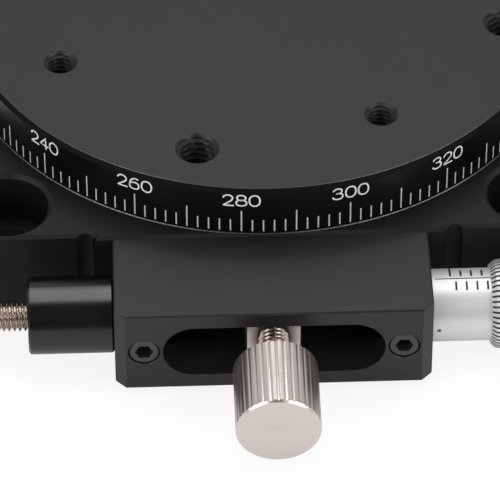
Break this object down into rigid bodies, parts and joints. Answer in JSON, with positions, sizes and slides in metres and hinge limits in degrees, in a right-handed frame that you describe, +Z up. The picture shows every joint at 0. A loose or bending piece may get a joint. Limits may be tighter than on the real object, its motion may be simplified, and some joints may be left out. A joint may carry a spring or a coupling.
{
  "type": "rotation stage",
  "caption": "Manual rotation stage: round table on a square base, turned finely by a micrometer against a sprung plunger, with a lock screw.",
  "frame": {"origin": "centre of the base's underside, on the table's axis", "axes": "+Z up out of the table's top, +X towards the micrometer's thimble, -Y towards the lock screw"},
  "size_m": [0.0746, 0.0811, 0.016],
  "materials": {
    "black_aluminium": "black anodised, matt",
    "satin_chrome": "satin",
    "satin_nickel": "satin nickel plate",
    "bar_steel": "ground",
    "stud_steel": "turned",
    "bearing_steel": "hardened and ground",
    "spring_steel": "drawn wire",
    "black_steel": "black oxide",
    "dark_steel": "black oxide",
    "brass": "turned",
    "polymer": "moulded"
  },
  "bodies": {
    "base": {"base_plate": "black_aluminium", "centre_post": "black_aluminium", "post_screws": "dark_steel", "bearing_inner_ring": "bearing_steel", "thrust_washer": "polymer", "arm_ring_washer": "polymer", "adjuster_block": "black_aluminium", "block_screws": "dark_steel", "stem_clamp_screws": "dark_steel", "micrometer_frame": "stud_steel", "adjusting_nut": "stud_steel", "micrometer_sleeve": "satin_chrome", "spring_barrel": "black_steel", "barrel_plug": "black_steel", "return_spring": "spring_steel"},
    "roller_cage": {"roller_cage": "brass", "bearing_rollers": "bearing_steel"},
    "tangent_arm": {"arm_ring": "black_aluminium", "tangent_bar": "bar_steel"},
    "table": {"rotary_table": "black_aluminium", "bearing_outer_ring_lower": "bearing_steel", "bearing_outer_ring_upper": "bearing_steel", "bearing_retainer": "black_aluminium"},
    "lock_shoe": {"lock_shoe": "brass"},
    "lock_screw": {"lock_stud": "stud_steel", "lock_knob": "satin_nickel"},
    "spindle_tip": {"contact_ball": "bearing_steel"},
    "thimble": {"micrometer_spindle": "bearing_steel", "micrometer_thimble": "satin_chrome", "thimble_cap": "satin_chrome"},
    "plunger": {"spring_plunger": "bearing_steel"},
    "spring_seat": {"spring_seat": "bearing_steel"},
    "preload_screw": {"preload_stud": "stud_steel", "preload_knob": "satin_nickel"}
  },
  "joints": [
    {"name": "spindle_slide", "type": "slide", "parent": "base", "child": "spindle_tip", "axis": [1, 0, 0], "range_m": [-0.00305, 0.00305]},
    {"name": "thimble_turn", "type": "hinge", "parent": "spindle_tip", "child": "thimble", "pos_m": [0.02, -0.0351, 0.0054], "axis": [1, 0, 0], "range_deg": [-2200, 2200]},
    {"name": "arm_fine", "type": "hinge", "parent": "base", "child": "tangent_arm", "pos_m": [0, 0, 0.0054], "axis": [0, 0, 1], "range_deg": [-5, 5]},
    {"name": "plunger_slide", "type": "slide", "parent": "base", "child": "plunger", "axis": [1, 0, 0], "range_m": [-0.00306, 0.00306], "deforming": ["return_spring"]},
    {"name": "table_turn", "type": "hinge", "parent": "tangent_arm", "child": "table", "pos_m": [0, 0, 0.0134], "axis": [0, 0, 1], "continuous": true},
    {"name": "cage_turn", "type": "hinge", "parent": "base", "child": "roller_cage", "pos_m": [0, 0, 0.0067], "axis": [0, 0, 1], "continuous": true},
    {"name": "lock_shoe_slide", "type": "slide", "parent": "tangent_arm", "child": "lock_shoe", "axis": [0, 1, 0], "range_m": [-0.0015, 0]},
    {"name": "lock_turn", "type": "hinge", "parent": "lock_shoe", "child": "lock_screw", "pos_m": [0, -0.047, 0.0054], "axis": [0, 1, 0], "range_deg": [-1081, 0]},
    {"name": "spring_seat_slide", "type": "slide", "parent": "base", "child": "spring_seat", "axis": [1, 0, 0], "range_m": [0, 0.0015]},
    {"name": "preload_turn", "type": "hinge", "parent": "spring_seat", "child": "preload_screw", "pos_m": [-0.03, -0.0351, 0.0054], "axis": [1, 0, 0], "range_deg": [0, 1081]}
  ],
  "couplings": [
    {"joint": "thimble_turn", "follows": "spindle_slide", "rad_per_m": 12566},
    {"joint": "arm_fine", "follows": "spindle_slide", "rad_per_m": 28.49},
    {"joint": "plunger_slide", "follows": "spindle_slide", "ratio": 1},
    {"joint": "cage_turn", "follows": "table_turn", "ratio": 0.5424},
    {"joint": "lock_turn", "follows": "lock_shoe_slide", "rad_per_m": 12566},
    {"joint": "preload_turn", "follows": "spring_seat_slide", "rad_per_m": 12566}
  ]
}
